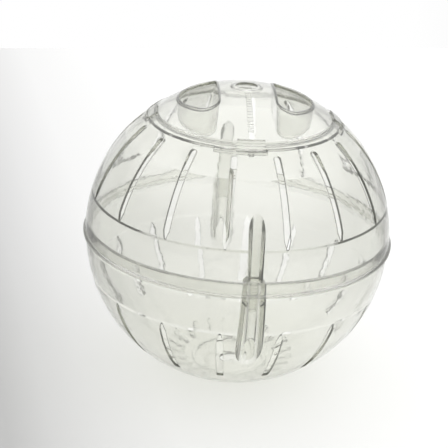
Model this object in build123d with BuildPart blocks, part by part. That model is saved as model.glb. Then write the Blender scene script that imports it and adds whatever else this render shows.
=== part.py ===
"""Clear exercise ball for a small pet: two snap-together half shells and a twist-on door.

Millimetres, +Z up.  The origin is on the ball's axis at the underside of the flat foot.
Azimuths are measured about +Z from -Y towards +X, so 0 is the front and 90 is +X.
"""
from build123d import *
import os
from math import cos, radians, sin, sqrt

# ---------------------------------------------------------------- driving dimensions
wall = 1.4                      # moulded wall
upper_radius = 88.7             # outside of the upper shell
lower_radius = 88.2             # outside of the lower shell
foot_radius = 22.2              # flat that the ball stands on
foot_hole_radius = 5.7
centre_height = sqrt(lower_radius**2 - foot_radius**2)   # ball's centre above the foot

# seam between the two shells
seam_gap = 0.1
bead_radius = 89.8
bead_height = 1.3
bead_blend_height = 2.4
spigot_outer = 86.7             # lower shell's rim, inside the upper shell's skirt
spigot_inner = 85.0
spigot_height = 7.0
spigot_chamfer = 0.5
skirt_bore = 87.0
skirt_height = 8.2

# thicker belt on both sides of the seam
belt_extra = 0.7
upper_belt_latitude = 16.7
lower_belt_latitude = 16.4
lower_belt_start = -3.0         # height of the lower belt's top, from the ball's centre
belt_step_slope = 1.0           # degrees of latitude over which the wall thickens

# ventilation slots
slot_count = 16
slot_width = 3.6
slot_tip_width = 1.0
slot_taper_length = 4.5
slot_clear = 1.0                # cutter's reach outside the wall
slot_depth = 8.0                # cutter's reach inside the wall
upper_slot_top_latitude = 49.5
lower_slot_end_latitude = 43.6
lower_slot_corner = 0.8

# two posts that locate and hold the shells, front and rear
post_reach = 80.6               # from the ball's axis to a post's axis
peg_radius = 3.57
peg_tip_radius = 3.25
peg_bottom = -9.5
boss_radius = 3.7
boss_top_radius = 4.7
boss_bottom = 8.3
boss_top = 50.0
boss_back = 86.6
socket_bore_radius = 3.65
socket_top = 8.0
socket_radius = 5.9
socket_end_radius = 7.9
socket_bottom = -52.0
socket_back = 85.8
socket_chamfer = 1.4
bore_top = 9.0
bore_bottom = -53.0

# door opening and its bayonet tracks
opening_radius = 54.0           # edge of the recess that the door lies in
seat_bore = 50.5                # clear way through the seat
notch_inner = 49.5
seat_drop = 1.6                 # seat's top below the outside of the shell
seat_thickness = 0.9
seat_root_reach = 56.2          # where the seat's underside starts to rise to the wall
seat_blend_reach = 66.0         # where it meets the wall
track_radius = 55.7
track_play = 0.6                # degrees, each side of a lug
lock_turn = 11.7                # degrees that the door turns to lock
detent_radius = 1.5
detent_floor = 66.6             # above the ball's centre
notch_bottom = 62.0
notch_height = 12.0

# door
door_set_angle = -2.5           # azimuth of the front lug
door_radius = 88.4
door_edge = 53.7
flange_thickness = 1.0
door_skirt_outer = 50.2
door_skirt_inner = 48.8
door_skirt_radius = 85.3        # distance of the skirt's foot from the ball's centre
hook_reach = 53.2
hook_gap = 0.5                  # below the seat
hook_thickness = 1.2
lug_count = 4
lug_half_angle = 8.5
lug_top_radius = 89.4
lug_inner = 50.0
lug_outer = 54.7
pole_hole_radius = 6.0
pole_hole_lip = 0.2
pole_boss_radius = 8.6
pole_boss_rise = 0.6
pole_boss_wall = 1.2
pole_boss_hollow = 7.4          # radius of the hollow under the boss

# finger pockets in the door, each a D with its flat side to the middle
pocket_wall = 1.1
pocket_rim_radius = 88.9
pocket_flat = 14.8              # from the door's middle to the flat side, at the top
pocket_radius = 30.5            # curved side
pocket_arc_centre = 9.0         # from the door's middle to the curved side's centre
pocket_corner = 8.0
pocket_draft = 2.1              # how far the sides lean in by the floor
pocket_top = 92.0               # above the ball's centre
pocket_floor = 64.8
pocket_floor_fillet = 4.5

# plain raised details
bar_rib_count = 15
bar_rib_width = 1.1
bar_rib_length = 3.0
bar_rib_inner = 11.0            # from the ball's axis to the first rib
bar_rib_outer = 44.0
bar_rib_rise = 0.35
foot_ring_inner = 21.0
foot_ring_outer = 22.8
foot_ring_rise = 0.7
foot_rib_count = 24
foot_rib_inner = 28.0
foot_rib_outer = 38.0
foot_rib_angle = 3.0
foot_rib_rise = 0.8

# ---------------------------------------------------------------- derived dimensions
upper_inner = upper_radius - wall
upper_middle = upper_radius - wall / 2
above_shell = upper_radius + wall   # where cuts and hollows start, clear of the outside
lower_inner = lower_radius - wall
lower_middle = lower_radius - wall / 2
belt_inner = lower_inner - belt_extra
socket_shoulder = socket_top - socket_chamfer
seat_top = upper_radius - seat_drop
seat_bottom = seat_top - seat_thickness
door_inner = door_radius - wall
door_middle = door_radius - wall / 2
flange_under = door_radius - flange_thickness
hook_top = seat_bottom - hook_gap
hook_bottom = hook_top - hook_thickness
hook_root = (door_skirt_inner + door_skirt_outer) / 2
slot_pitch = 360 / slot_count
foot_rib_pitch = 360 / foot_rib_count
bar_rib_pitch = (bar_rib_outer - bar_rib_inner) / (bar_rib_count - 1)
lug_pitch = 360 / lug_count
between_lugs = door_set_angle + lug_pitch / 2
track_start = door_set_angle - lug_half_angle - track_play - lock_turn
track_sweep = 2 * (lug_half_angle + track_play) + lock_turn
ball_centre = (0, 0, centre_height)


# ---------------------------------------------------------------- helpers
def outward(azimuth):
    """Unit vector that points away from the axis at an azimuth."""
    return Vector(sin(radians(azimuth)), -cos(radians(azimuth)), 0)


def meridian(azimuth):
    """Vertical plane through the axis: local x is the reach, local y the height above centre."""
    reach = outward(azimuth)
    return Plane(origin=ball_centre, x_dir=reach, z_dir=reach.cross(Vector(0, 0, 1)))


def turned_level(azimuth, height):
    """Horizontal plane at a height above the ball's centre, local -y at an azimuth."""
    across = (cos(radians(azimuth)), sin(radians(azimuth)), 0)
    return Plane(origin=(0, 0, centre_height + height), x_dir=across)


def level(height):
    """Horizontal plane at a height above the ball's centre, local -y at azimuth 0."""
    return turned_level(0, height)


def at_reach(radius, reach):
    """Point of a meridian circle at a distance from the axis, in the upper half."""
    return (reach, sqrt(radius**2 - reach**2))


def under_reach(radius, reach):
    """Point of a meridian circle at a distance from the axis, in the lower half."""
    return (reach, -sqrt(radius**2 - reach**2))


def at_height(radius, height):
    """Point of a meridian circle at a height above the ball's centre."""
    return (sqrt(radius**2 - height**2), height)


def at_latitude(radius, latitude):
    """Point of a meridian circle at a latitude, in degrees."""
    return (radius * cos(radians(latitude)), radius * sin(radians(latitude)))


def sphere_arc(start, end):
    """Arc about the ball's centre between two points of a meridian circle."""
    radius = sqrt(start[0] ** 2 + start[1] ** 2)
    middle = ((start[0] + end[0]) / 2, (start[1] + end[1]) / 2)
    scale = radius / sqrt(middle[0] ** 2 + middle[1] ** 2)
    return ThreePointArc(start, (middle[0] * scale, middle[1] * scale), end)


def ring_sector(inner, outer, azimuth, half_angle):
    """Sketch between two radii, centred on an azimuth."""
    start = azimuth - 90 - half_angle
    with BuildSketch() as outline:
        with BuildLine():
            outer_arc = CenterArc((0, 0), outer, start, 2 * half_angle)
            inner_arc = CenterArc((0, 0), inner, start, 2 * half_angle)
            Line(outer_arc @ 0, inner_arc @ 0)
            Line(outer_arc @ 1, inner_arc @ 1)
        make_face()
    return outline.sketch


def slot_plane(radius, azimuth, latitude):
    """Plane that touches the ball at a latitude, local y towards the upper pole."""
    reach = outward(azimuth)
    normal = reach * cos(radians(latitude)) + Vector(0, 0, sin(radians(latitude)))
    tangent = Vector(cos(radians(azimuth)), sin(radians(azimuth)), 0)
    return Plane(origin=Vector(*ball_centre) + normal * radius, x_dir=tangent, z_dir=normal)


def slot_outline(half_length, tip_side, round_end):
    """Slot that narrows at one end; tip_side is -1 for the lower end and 1 for the upper."""
    half = slot_width / 2
    tip = slot_tip_width / 2
    taper = tip_side * (half_length - slot_taper_length)
    end = -tip_side * half_length
    far = end + tip_side * half if round_end else end
    with BuildSketch() as outline:
        with BuildLine():
            Polyline((-half, far), (-half, taper), (-tip, tip_side * half_length))
            Line((-tip, tip_side * half_length), (tip, tip_side * half_length))
            Polyline((tip, tip_side * half_length), (half, taper), (half, far))
            if round_end:
                ThreePointArc((half, far), (0, end), (-half, far))
            else:
                Line((half, far), (-half, far))
        make_face()
        if not round_end:
            fillet(vertices().group_by(Axis.Y)[0 if tip_side > 0 else -1], lower_slot_corner)
    return outline.sketch


def pocket_outline(side, inset):
    """D shape of a finger pocket on one side of the door's middle."""
    flat = pocket_flat + inset
    radius = pocket_radius - inset
    half = sqrt(radius**2 - (flat - pocket_arc_centre) ** 2)
    with BuildSketch() as outline:
        with BuildLine():
            Line((side * flat, -half), (side * flat, half))
            ThreePointArc(
                (side * flat, half),
                (side * (pocket_arc_centre + radius), 0),
                (side * flat, -half),
            )
        make_face()
        fillet(vertices(), pocket_corner - inset)
    return outline.sketch


def post_outline(radius, back):
    """Section of a post: round towards the cabin, straight back to the wall."""
    with BuildSketch() as outline:
        with Locations((0, -post_reach)):
            Circle(radius)
        with Locations((0, -(post_reach + back) / 2)):
            Rectangle(2 * radius, back - post_reach)
    return outline.sketch


# ---------------------------------------------------------------- upper shell
upper_edge = at_height(upper_radius, bead_blend_height)
upper_rim = at_reach(upper_radius, opening_radius)
seat_outer = at_reach(seat_top, opening_radius)
seat_inner = at_reach(seat_top, seat_bore)
seat_under = at_reach(seat_bottom, seat_bore)
seat_root = at_reach(seat_bottom, seat_root_reach)
seat_blend = at_reach(upper_inner, seat_blend_reach)
upper_belt_top = at_latitude(upper_inner, upper_belt_latitude)
upper_belt_edge = at_latitude(upper_inner - belt_extra, upper_belt_latitude - belt_step_slope)
upper_belt_foot = at_height(upper_inner - belt_extra, skirt_height)

with BuildPart() as upper_shell:
    # two bosses, trimmed to the inside of the wall, then the moulded wall around them
    for azimuth in (0, 180):
        for height, radius in ((boss_bottom, boss_radius), (boss_top, boss_top_radius)):
            with BuildSketch(turned_level(azimuth, height)):
                add(post_outline(radius, boss_back))
        loft()
    with Locations(ball_centre):
        Sphere(upper_middle, mode=Mode.INTERSECT)
    with BuildSketch(meridian(between_lugs)):
        with BuildLine():
            Polyline((skirt_bore, seam_gap), (bead_radius, seam_gap), (bead_radius, bead_height), upper_edge)
            sphere_arc(upper_edge, upper_rim)
            Line(upper_rim, seat_outer)
            sphere_arc(seat_outer, seat_inner)
            Line(seat_inner, seat_under)
            sphere_arc(seat_under, seat_root)
            Line(seat_root, seat_blend)
            sphere_arc(seat_blend, upper_belt_top)
            Line(upper_belt_top, upper_belt_edge)
            sphere_arc(upper_belt_edge, upper_belt_foot)
            Polyline(upper_belt_foot, (skirt_bore, skirt_height), (skirt_bore, seam_gap))
        make_face()
    revolve(axis=Axis.Z)
    # pegs below the bosses, a running fit in the sockets
    for side in (-1, 1):
        with BuildSketch(level(boss_bottom)):
            with Locations((0, side * post_reach)):
                Circle(peg_radius)
        with BuildSketch(level(peg_bottom)):
            with Locations((0, side * post_reach)):
                Circle(peg_tip_radius)
        loft()
    # four bayonet tracks in the edge of the opening, and notches in the seat for the hooks
    for index in range(lug_count):
        start = meridian(track_start + index * lug_pitch)
        with BuildSketch(start):
            with BuildLine():
                Polyline(
                    at_reach(seat_top, opening_radius),
                    at_reach(seat_top, track_radius),
                    at_reach(above_shell, track_radius),
                    at_reach(above_shell, opening_radius),
                    close=True,
                )
            make_face()
        revolve(axis=Axis.Z, revolution_arc=track_sweep, mode=Mode.SUBTRACT)
        lug_azimuth = door_set_angle + index * lug_pitch
        with BuildSketch(level(notch_bottom)):
            add(ring_sector(notch_inner, opening_radius, lug_azimuth, lug_half_angle + track_play))
        extrude(amount=notch_height, mode=Mode.SUBTRACT)
        detent = outward(lug_azimuth) * track_radius
        with BuildSketch(level(detent_floor)):
            with Locations((detent.X, detent.Y)):
                Circle(detent_radius)
        extrude(amount=notch_height, mode=Mode.SUBTRACT)
    # sixteen ventilation slots, with their narrow end at the belt
    upper_slot_middle = (upper_belt_latitude + upper_slot_top_latitude) / 2
    upper_slot_half = upper_radius * sin(radians(upper_slot_top_latitude - upper_slot_middle))
    for index in range(slot_count):
        azimuth = (index + 0.5) * slot_pitch
        with BuildSketch(slot_plane(upper_radius + slot_clear, azimuth, upper_slot_middle)):
            add(slot_outline(upper_slot_half, -1, True))
        extrude(amount=-slot_depth, mode=Mode.SUBTRACT)
upper_shell.part.label = "upper_shell"

# ---------------------------------------------------------------- lower shell
foot_inner_height = -(centre_height - wall)
foot_inner_radius = sqrt(lower_inner**2 - foot_inner_height**2)
belt_top = at_height(belt_inner, lower_belt_start)
lower_belt_edge = at_latitude(belt_inner, belt_step_slope - lower_belt_latitude)
lower_belt_end = at_latitude(lower_inner, -lower_belt_latitude)

with BuildPart() as lower_shell:
    # two socket columns with bevelled tops, trimmed to the inside of the wall
    for azimuth in (0, 180):
        for upper_end, lower_end in (
            ((socket_top, socket_radius - socket_chamfer), (socket_shoulder, socket_radius)),
            ((socket_shoulder, socket_radius), (socket_bottom, socket_end_radius)),
        ):
            for height, radius in (upper_end, lower_end):
                with BuildSketch(turned_level(azimuth, height)):
                    add(post_outline(radius, socket_back))
            loft()
    with Locations(ball_centre):
        Sphere(lower_middle, mode=Mode.INTERSECT)
    with BuildSketch(meridian(0)):
        with BuildLine():
            Line((foot_hole_radius, -centre_height), (foot_radius, -centre_height))
            sphere_arc((foot_radius, -centre_height), (lower_radius, 0))
            Polyline(
                (lower_radius, 0),
                (spigot_outer, 0),
                (spigot_outer, spigot_height - spigot_chamfer),
                (spigot_outer - spigot_chamfer, spigot_height),
                (spigot_inner, spigot_height),
                (spigot_inner, 0),
                belt_top,
            )
            sphere_arc(belt_top, lower_belt_edge)
            Line(lower_belt_edge, lower_belt_end)
            sphere_arc(lower_belt_end, (foot_inner_radius, foot_inner_height))
            Polyline(
                (foot_inner_radius, foot_inner_height),
                (foot_hole_radius, foot_inner_height),
                (foot_hole_radius, -centre_height),
            )
        make_face()
    revolve(axis=Axis.Z)
    # bores for the pegs; each breaks out through the curved wall below
    for side in (-1, 1):
        with BuildSketch(level(bore_top)):
            with Locations((0, side * post_reach)):
                Circle(socket_bore_radius)
        extrude(amount=bore_bottom - bore_top, mode=Mode.SUBTRACT)
    # sixteen ventilation slots, with their narrow end at the belt
    lower_slot_middle = -(lower_belt_latitude + lower_slot_end_latitude) / 2
    lower_slot_half = lower_radius * sin(radians(lower_slot_end_latitude + lower_slot_middle))
    for index in range(slot_count):
        azimuth = (index + 0.5) * slot_pitch
        with BuildSketch(slot_plane(lower_radius + slot_clear, azimuth, lower_slot_middle)):
            add(slot_outline(lower_slot_half, 1, False))
        extrude(amount=-slot_depth, mode=Mode.SUBTRACT)
    # plain ring and radial ribs inside, around the foot
    with BuildSketch(meridian(0)):
        with BuildLine():
            Polyline(
                (foot_ring_inner, foot_inner_height + foot_ring_rise),
                (foot_ring_outer, foot_inner_height + foot_ring_rise),
                (foot_ring_outer, foot_inner_height - wall / 2),
                (foot_ring_inner, foot_inner_height - wall / 2),
                close=True,
            )
        make_face()
    revolve(axis=Axis.Z)
    for index in range(foot_rib_count):
        with BuildSketch(meridian(index * foot_rib_pitch - foot_rib_angle / 2)):
            with BuildLine():
                Polyline(
                    under_reach(lower_inner - foot_rib_rise, foot_rib_inner),
                    under_reach(lower_inner - foot_rib_rise, foot_rib_outer),
                    under_reach(lower_middle, foot_rib_outer),
                    under_reach(lower_middle, foot_rib_inner),
                    close=True,
                )
            make_face()
        revolve(axis=Axis.Z, revolution_arc=foot_rib_angle)
lower_shell.part.label = "lower_shell"

# ---------------------------------------------------------------- door
with BuildPart() as pocket_cores:
    for side in (-1, 1):
        with BuildSketch(turned_level(door_set_angle, pocket_top)):
            add(pocket_outline(side, pocket_wall))
        with BuildSketch(turned_level(door_set_angle, pocket_floor + pocket_wall)):
            add(pocket_outline(side, pocket_wall + pocket_draft))
        loft()
    fillet(faces().filter_by(Axis.Z).group_by(Axis.Z)[0].edges(), pocket_floor_fillet - pocket_wall)

door_rim = at_reach(door_radius, door_edge)
door_rim_under = at_reach(flange_under, door_edge)
flange_root = at_reach(flange_under, door_skirt_outer)
skirt_foot_outer = at_reach(door_skirt_radius, door_skirt_outer)
skirt_foot_inner = at_reach(door_skirt_radius, door_skirt_inner)
skirt_root = at_reach(door_inner, door_skirt_inner)
boss_radius_top = door_radius + pole_boss_rise
boss_radius_under = boss_radius_top - pole_boss_wall
boss_hollow_foot = at_reach(door_inner, pole_boss_hollow + pole_boss_rise)
boss_hollow_top = at_reach(boss_radius_under, pole_boss_hollow)
hole_under = at_reach(boss_radius_under, pole_hole_radius + pole_hole_lip)
hole_lower = at_reach(boss_radius_under + pole_hole_lip, pole_hole_radius)
hole_upper = at_reach(boss_radius_top - pole_hole_lip, pole_hole_radius)
hole_top = at_reach(boss_radius_top, pole_hole_radius + pole_hole_lip)
boss_shoulder = at_reach(boss_radius_top, pole_boss_radius)
boss_foot = at_reach(door_radius, pole_boss_radius + pole_boss_rise)

with BuildPart() as door:
    # row of short plain ribs along the bar
    with BuildSketch(turned_level(door_set_angle, pocket_floor)):
        with Locations((0, -(bar_rib_inner + bar_rib_outer) / 2)):
            with GridLocations(0, bar_rib_pitch, 1, bar_rib_count):
                Rectangle(bar_rib_length, bar_rib_width)
    extrude(amount=pocket_top - pocket_floor)
    with Locations(ball_centre):
        Sphere(door_radius + bar_rib_rise, mode=Mode.INTERSECT)
        Sphere(door_middle, mode=Mode.SUBTRACT)
    # outsides of the two finger pockets
    for side in (-1, 1):
        with BuildSketch(turned_level(door_set_angle, pocket_top)):
            add(pocket_outline(side, 0))
        with BuildSketch(turned_level(door_set_angle, pocket_floor)):
            add(pocket_outline(side, pocket_draft))
        loft()
    fillet(faces().filter_by(Axis.Z).group_by(Axis.Z)[0].edges(), pocket_floor_fillet)
    with Locations(ball_centre):
        Sphere(pocket_rim_radius, mode=Mode.INTERSECT)
    # dome, thin flange and short skirt
    with BuildSketch(meridian(between_lugs)):
        with BuildLine():
            Polyline(hole_under, hole_lower, hole_upper, hole_top)
            sphere_arc(hole_top, boss_shoulder)
            Line(boss_shoulder, boss_foot)
            sphere_arc(boss_foot, door_rim)
            Line(door_rim, door_rim_under)
            sphere_arc(door_rim_under, flange_root)
            Polyline(flange_root, skirt_foot_outer, skirt_foot_inner, skirt_root)
            sphere_arc(skirt_root, boss_hollow_foot)
            Line(boss_hollow_foot, boss_hollow_top)
            sphere_arc(boss_hollow_top, hole_under)
        make_face()
    revolve(axis=Axis.Z)
    add(pocket_cores.part, mode=Mode.SUBTRACT)
    # four bayonet hooks at the skirt's foot, and the raised lugs above them
    for index in range(lug_count):
        lug_azimuth = door_set_angle + index * lug_pitch
        lug_start = lug_azimuth - lug_half_angle
        with BuildSketch(meridian(lug_start)):
            with BuildLine():
                Polyline(
                    at_reach(hook_bottom, hook_root),
                    at_reach(hook_bottom, hook_reach),
                    at_reach(hook_top, hook_reach),
                    at_reach(hook_top, hook_root),
                    close=True,
                )
            make_face()
        revolve(axis=Axis.Z, revolution_arc=2 * lug_half_angle)
        with BuildSketch(meridian(lug_start)):
            with BuildLine():
                Polyline(
                    at_reach(door_middle, lug_outer),
                    at_reach(lug_top_radius, lug_outer),
                    at_reach(lug_top_radius, lug_inner),
                    at_reach(door_middle, lug_inner),
                    close=True,
                )
            make_face()
        revolve(axis=Axis.Z, revolution_arc=2 * lug_half_angle)
door.part.label = "door"

# ---------------------------------------------------------------- export
os.makedirs("parts", exist_ok=True)
for piece in (lower_shell, upper_shell, door):
    export_step(piece.part, f"parts/{piece.part.label}.step")
    print(piece.part.label, len(piece.solids()), round(piece.part.volume))
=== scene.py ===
"""Looks for the clear exercise ball.  Metres, in the CAD frame: +Z up, -Y is the front."""
from math import cos, radians, sin

import bpy
from mathutils import Matrix, Vector

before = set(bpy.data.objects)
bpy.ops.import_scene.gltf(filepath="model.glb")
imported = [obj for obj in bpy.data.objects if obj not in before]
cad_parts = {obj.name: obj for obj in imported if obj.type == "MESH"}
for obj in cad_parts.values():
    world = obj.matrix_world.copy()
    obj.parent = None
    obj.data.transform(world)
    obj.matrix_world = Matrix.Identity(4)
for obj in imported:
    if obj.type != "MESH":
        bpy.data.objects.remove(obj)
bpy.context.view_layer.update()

# ---------------------------------------------------------------- camera settings
CENTRE = Vector((0.0, 0.0, 0.08536))      # middle of the ball
CAMERA_AZIMUTH = radians(-7.42)
CAMERA_ELEVATION = radians(23.04)
CAMERA_ROLL = radians(3.75)
CAMERA_DISTANCE = 0.7396
CAMERA_LENS = 101.3                       # millimetres, as is the sensor
SENSOR_WIDTH = 36.0
CLIP_START = 0.01
CLIP_END = 50.0
# offsets from the camera's axis are tangents of angles
AIM_RIGHT = 0.01043                       # how far the ball sits right of the aim
AIM_DOWN = 0.00575
HALF_VIEW = SENSOR_WIDTH / CAMERA_LENS / 2
PAPER_EDGE_ABOVE = 0.139614               # where the paper's far edge lies above the camera's axis

# ---------------------------------------------------------------- plastic settings
PLASTIC_IOR = 1.56
EDGE_RADIUS = 0.0005                      # rounding of the moulded edges
EDGE_SAMPLES = 4
TINT = (0.965, 0.967, 0.945)
HAZE = 0.06                               # share of the surface that scatters light, not passes it
ABSORB = (0.70, 0.71, 0.62)
DENSITY = 60.0
PASSED_LIGHT = (0.970, 0.971, 0.962)      # what each surface lets through towards matt ones
SHELL_WAVINESS = 0.00006                  # height of the mould's ripples
DOOR_WAVINESS = 0.00005
# noise scales, each per metre: (scale, detail)
RIPPLES = (60.0, 1.5)
FLOW = (230.0, 1.0)
PEEL = (700.0, 2.0)
PATCHES = (22.0, 3.0)
SCRATCHES = (1.0, 2.0)                    # on coordinates that are stretched by the two below
SCRATCH_STRETCH = (1500, 140, 140)
CROSSING_STRETCH = (160, 1300, 500)
# heights of the finer bumps, as shares of the ripples
FLOW_SHARE = 0.5
PEEL_SHARE = 0.08
# where each noise begins and ends to count
SCRATCH_BAND = (0.62, 0.74)
PATCH_BAND = (0.45, 0.65)
CROSSING_BAND = (0.66, 0.78)
CLEAN_ROUGHNESS = 0.035
SCUFFED_ROUGHNESS = 0.13
CROSSING_ROUGHNESS = 0.06

# ---------------------------------------------------------------- paper settings
PAPER_WHITE = (0.93, 0.93, 0.925)
PAPER_ROUGHNESS = 0.8
FIBRES = (900.0, 2.0)
FIBRE_HEIGHT = 0.00003
PAPER_SIZE = 4.0
PAPER_GAP = 0.0002                        # how far the paper lies under the foot
# the paper's painted shade, darker where the light falls off to the left and far out to the right: slant,
# and tones at places along x + slant * y
LEFT_PAINTED_SHADE = (
    0.16,
    (
        (-0.40, 0.50), (-0.20, 0.48), (-0.142, 0.52), (-0.118, 0.66),
        (-0.09, 0.77), (-0.05, 0.88), (0.06, 0.98), (0.10, 1.0),
    ),
)
RIGHT_PAINTED_SHADE = (-0.30, ((0.14, 1.0), (0.20, 0.72), (0.28, 0.55), (0.45, 0.52)))

# ---------------------------------------------------------------- light settings
FRONT_GREY = 0.32
LEFT_GREY = 0.45
RIGHT_GREY = 0.45
OVERHEAD = 1.35
# parts of the sky's direction over which each grey blends into white
FRONT_TO_BACK = (-0.6, 0.75)
LEFT_TO_MIDDLE = (-0.9, -0.1)
MIDDLE_TO_RIGHT = (0.25, 0.95)
LOW_TO_OVERHEAD = (0.15, 0.75)


# ---------------------------------------------------------------- node helpers
def new_material(name):
    material = bpy.data.materials.new(name)
    material.use_nodes = True
    tree = material.node_tree
    tree.nodes.clear()
    return material, tree


def link(tree, source, target):
    tree.links.new(source, target)


def add_node(tree, kind, **inputs):
    """New node with its inputs set; an underscore stands for the space in an input's name."""
    node = tree.nodes.new(kind)
    for name, value in inputs.items():
        node.inputs[name.replace("_", " ")].default_value = value
    return node


def noise(tree, coordinates, scale, detail):
    node = add_node(tree, "ShaderNodeTexNoise", Scale=scale, Detail=detail, Roughness=0.5)
    link(tree, coordinates, node.inputs["Vector"])
    return node.outputs["Fac"]


def ramp(tree, value, span, out_low, out_high):
    """Value turned from the span into out_low to out_high."""
    low, high = span
    node = add_node(
        tree, "ShaderNodeMapRange", From_Min=low, From_Max=high, To_Min=out_low, To_Max=out_high
    )
    link(tree, value, node.inputs["Value"])
    return node.outputs["Result"]


def stretched(tree, coordinates, scale):
    node = add_node(tree, "ShaderNodeMapping", Scale=scale)
    link(tree, coordinates, node.inputs["Vector"])
    return node.outputs["Vector"]


def maths(tree, operation, first, second):
    node = tree.nodes.new("ShaderNodeMath")
    node.operation = operation
    link(tree, first, node.inputs[0])
    link(tree, second, node.inputs[1])
    return node.outputs[0]


def bump(tree, height, distance, under):
    """Bump on top of another normal."""
    node = add_node(tree, "ShaderNodeBump", Strength=1.0, Distance=distance)
    link(tree, height, node.inputs["Height"])
    link(tree, under, node.inputs["Normal"])
    return node.outputs["Normal"]


def mixed(tree, share, first, second):
    """One shader turning into the other as the share goes from 0 to 1."""
    node = tree.nodes.new("ShaderNodeMixShader")
    link(tree, share, node.inputs["Fac"])
    link(tree, first, node.inputs[1])
    link(tree, second, node.inputs[2])
    return node.outputs["Shader"]


# ---------------------------------------------------------------- plastic
def scuffs(tree, place):
    """Roughness of fine stretched scratches in patches, and of a few that cross them."""
    scratches = noise(tree, stretched(tree, place, SCRATCH_STRETCH), *SCRATCHES)
    crossing = noise(tree, stretched(tree, place, CROSSING_STRETCH), *SCRATCHES)
    patches = noise(tree, place, *PATCHES)
    scratched = ramp(tree, scratches, SCRATCH_BAND, 0.0, 1.0)
    in_patches = ramp(tree, patches, PATCH_BAND, 0.0, 1.0)
    scuffed = maths(tree, "MULTIPLY", scratched, in_patches)
    fine = ramp(tree, scuffed, (0.0, 1.0), CLEAN_ROUGHNESS, SCUFFED_ROUGHNESS)
    crossed = ramp(tree, crossing, CROSSING_BAND, 0.0, CROSSING_ROUGHNESS)
    return maths(tree, "ADD", fine, crossed)


def moulded_surface(tree, place, waviness):
    """Normal with softened edges, the slow ripples of the mould and a finer orange peel."""
    softened = add_node(tree, "ShaderNodeBevel", Radius=EDGE_RADIUS)
    softened.samples = EDGE_SAMPLES
    rippled = bump(tree, noise(tree, place, *RIPPLES), waviness, softened.outputs["Normal"])
    flowed = bump(tree, noise(tree, place, *FLOW), waviness * FLOW_SHARE, rippled)
    return bump(tree, noise(tree, place, *PEEL), waviness * PEEL_SHARE, flowed)


def clear_plastic(name, waviness):
    """Clear moulded polystyrene: edges softened, rippled by the mould, finely scuffed and faintly tinted."""
    material, tree = new_material(name)
    place = tree.nodes.new("ShaderNodeTexCoord").outputs["Object"]
    output = tree.nodes.new("ShaderNodeOutputMaterial")
    shader = tree.nodes.new("ShaderNodeBsdfPrincipled")
    shader.inputs["Base Color"].default_value = (*TINT, 1)
    shader.inputs["IOR"].default_value = PLASTIC_IOR
    shader.inputs["Transmission Weight"].default_value = 1 - HAZE
    link(tree, scuffs(tree, place), shader.inputs["Roughness"])
    link(tree, moulded_surface(tree, place, waviness), shader.inputs["Normal"])
    # light that reaches matt surfaces goes straight through, so that the shadow stays pale
    passing = add_node(tree, "ShaderNodeBsdfTransparent", Color=(*PASSED_LIGHT, 1))
    path = tree.nodes.new("ShaderNodeLightPath").outputs
    to_matt = maths(tree, "MAXIMUM", path["Is Shadow Ray"], path["Is Diffuse Ray"])
    surface = mixed(tree, to_matt, shader.outputs["BSDF"], passing.outputs["BSDF"])
    link(tree, surface, output.inputs["Surface"])
    volume = add_node(tree, "ShaderNodeVolumeAbsorption", Color=(*ABSORB, 1), Density=DENSITY)
    link(tree, volume.outputs["Volume"], output.inputs["Volume"])
    return material


def dress(node, waviness):
    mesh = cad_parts[node].data
    mesh.materials.clear()
    mesh.materials.append(clear_plastic("clear_" + node, waviness))


dress("lower_shell", SHELL_WAVINESS)
dress("upper_shell", SHELL_WAVINESS)
dress("door", DOOR_WAVINESS)

# ---------------------------------------------------------------- camera
reach = cos(CAMERA_ELEVATION)
away = Vector((sin(CAMERA_AZIMUTH) * reach, -cos(CAMERA_AZIMUTH) * reach, sin(CAMERA_ELEVATION)))
level_right = Vector((cos(CAMERA_AZIMUTH), sin(CAMERA_AZIMUTH), 0))
level_up = away.cross(level_right)
right = level_right * cos(CAMERA_ROLL) + level_up * sin(CAMERA_ROLL)
up = away.cross(right)
back = (away + right * AIM_RIGHT - up * AIM_DOWN).normalized()
right = (right - back * right.dot(back)).normalized()
up = back.cross(right)

camera_data = bpy.data.cameras.new("camera")
camera_data.sensor_width = SENSOR_WIDTH
camera_data.lens = CAMERA_LENS
camera_data.clip_start = CLIP_START
camera_data.clip_end = CLIP_END
camera = bpy.data.objects.new("camera", camera_data)
bpy.context.scene.collection.objects.link(camera)
turn = Matrix((right, up, back)).transposed().to_4x4()
camera.matrix_world = Matrix.Translation(CENTRE + away * CAMERA_DISTANCE) @ turn
bpy.context.scene.camera = camera


# ---------------------------------------------------------------- floor
def floor_point(across, above):
    """Place on the floor that the camera sees this far right of its axis and above it."""
    ray = right * across + up * above - back
    start = camera.matrix_world.translation
    return start - ray * (start.z / ray.z)


def painted_shade(tree, place, slant, stops):
    """Paper's painted shade against x + slant * y in metres, through the stops."""
    along_paper = tree.nodes.new("ShaderNodeVectorMath")
    along_paper.operation = "DOT_PRODUCT"
    along_paper.inputs[1].default_value = (1.0, slant, 0.0)
    link(tree, place, along_paper.inputs[0])
    first, last = stops[0][0], stops[-1][0]
    curve = tree.nodes.new("ShaderNodeValToRGB")
    elements = curve.color_ramp.elements    # starts with one element at each end
    for at, _ in stops[1:-1]:
        elements.new((at - first) / (last - first))
    for element, (_, tone) in zip(elements, stops):
        element.color = (tone, tone, tone, 1)
    distance = ramp(tree, along_paper.outputs["Value"], (first, last), 0.0, 1.0)
    link(tree, distance, curve.inputs["Fac"])
    return curve.outputs["Color"]


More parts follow.
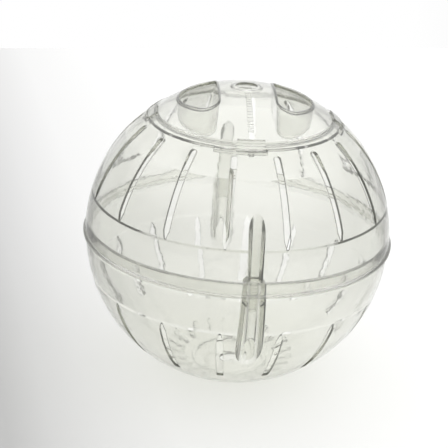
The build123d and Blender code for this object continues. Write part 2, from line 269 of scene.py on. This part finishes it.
def pale_paper():
    """Matt white paper with painted shade, greyer to the left and far out to the right where the light falls
    off; from below it isn't there, so the ball's underside shows."""
    material, tree = new_material("pale_paper")
    place = tree.nodes.new("ShaderNodeTexCoord").outputs["Object"]
    output = tree.nodes.new("ShaderNodeOutputMaterial")
    shader = add_node(tree, "ShaderNodeBsdfPrincipled", Roughness=PAPER_ROUGHNESS)
    left_painted_shade = painted_shade(tree, place, *LEFT_PAINTED_SHADE)
    right_painted_shade = painted_shade(tree, place, *RIGHT_PAINTED_SHADE)
    colour = tree.nodes.new("ShaderNodeMix")
    colour.data_type = "RGBA"
    colour.inputs["A"].default_value = (0.0, 0.0, 0.0, 1)
    colour.inputs["B"].default_value = (*PAPER_WHITE, 1)
    # painted shade: the paper's white is darkened where the light falls off, to the left and far out to the
    # right
    link(tree, maths(tree, "MULTIPLY", left_painted_shade, right_painted_shade), colour.inputs["Factor"])
    link(tree, colour.outputs["Result"], shader.inputs["Base Color"])
    fibre = add_node(tree, "ShaderNodeBump", Distance=FIBRE_HEIGHT)
    link(tree, noise(tree, place, *FIBRES), fibre.inputs["Height"])
    link(tree, fibre.outputs["Normal"], shader.inputs["Normal"])
    clear = tree.nodes.new("ShaderNodeBsdfTransparent")
    from_below = tree.nodes.new("ShaderNodeNewGeometry").outputs["Backfacing"]
    surface = mixed(tree, from_below, shader.outputs["BSDF"], clear.outputs["BSDF"])
    link(tree, surface, output.inputs["Surface"])
    return material


far_left = floor_point(-HALF_VIEW, PAPER_EDGE_ABOVE)
far_right = floor_point(HALF_VIEW, PAPER_EDGE_ABOVE)
along = (far_right - far_left).normalized()
floor_mesh = bpy.data.meshes.new("floor")
floor_mesh.from_pydata(
    [
        (-PAPER_SIZE, -PAPER_SIZE, 0),
        (PAPER_SIZE, -PAPER_SIZE, 0),
        tuple(far_right + along * PAPER_SIZE),
        tuple(far_left - along * PAPER_SIZE),
    ],
    [],
    [(0, 1, 2, 3)],
)
floor_mesh.materials.append(pale_paper())
floor = bpy.data.objects.new("floor", floor_mesh)
floor.location = (0, 0, -PAPER_GAP)
bpy.context.scene.collection.objects.link(floor)


# ---------------------------------------------------------------- light
def studio_world():
    """White behind and whiter overhead, greyer low in front and low at both sides."""
    world = bpy.data.worlds.new("studio")
    world.use_nodes = True
    tree = world.node_tree
    direction = tree.nodes.new("ShaderNodeSeparateXYZ")
    link(tree, tree.nodes.new("ShaderNodeTexCoord").outputs["Generated"], direction.inputs["Vector"])
    depth = ramp(tree, direction.outputs["Y"], FRONT_TO_BACK, FRONT_GREY, 1.0)
    left = ramp(tree, direction.outputs["X"], LEFT_TO_MIDDLE, LEFT_GREY, 1.0)
    right_side = ramp(tree, direction.outputs["X"], MIDDLE_TO_RIGHT, 1.0, RIGHT_GREY)
    low = maths(tree, "MULTIPLY", depth, maths(tree, "MULTIPLY", left, right_side))
    start, end = LOW_TO_OVERHEAD
    height = add_node(tree, "ShaderNodeMapRange", From_Min=start, From_Max=end, To_Max=OVERHEAD)
    height.interpolation_type = "SMOOTHSTEP"
    link(tree, direction.outputs["Z"], height.inputs["Value"])
    link(tree, low, height.inputs["To Min"])
    background = tree.nodes["Background"]
    background.inputs["Color"].default_value = (1.0, 1.0, 1.0, 1)
    link(tree, height.outputs["Result"], background.inputs["Strength"])
    return world


bpy.context.scene.world = studio_world()

view_settings = bpy.context.scene.view_settings
view_settings.view_transform = "Standard"
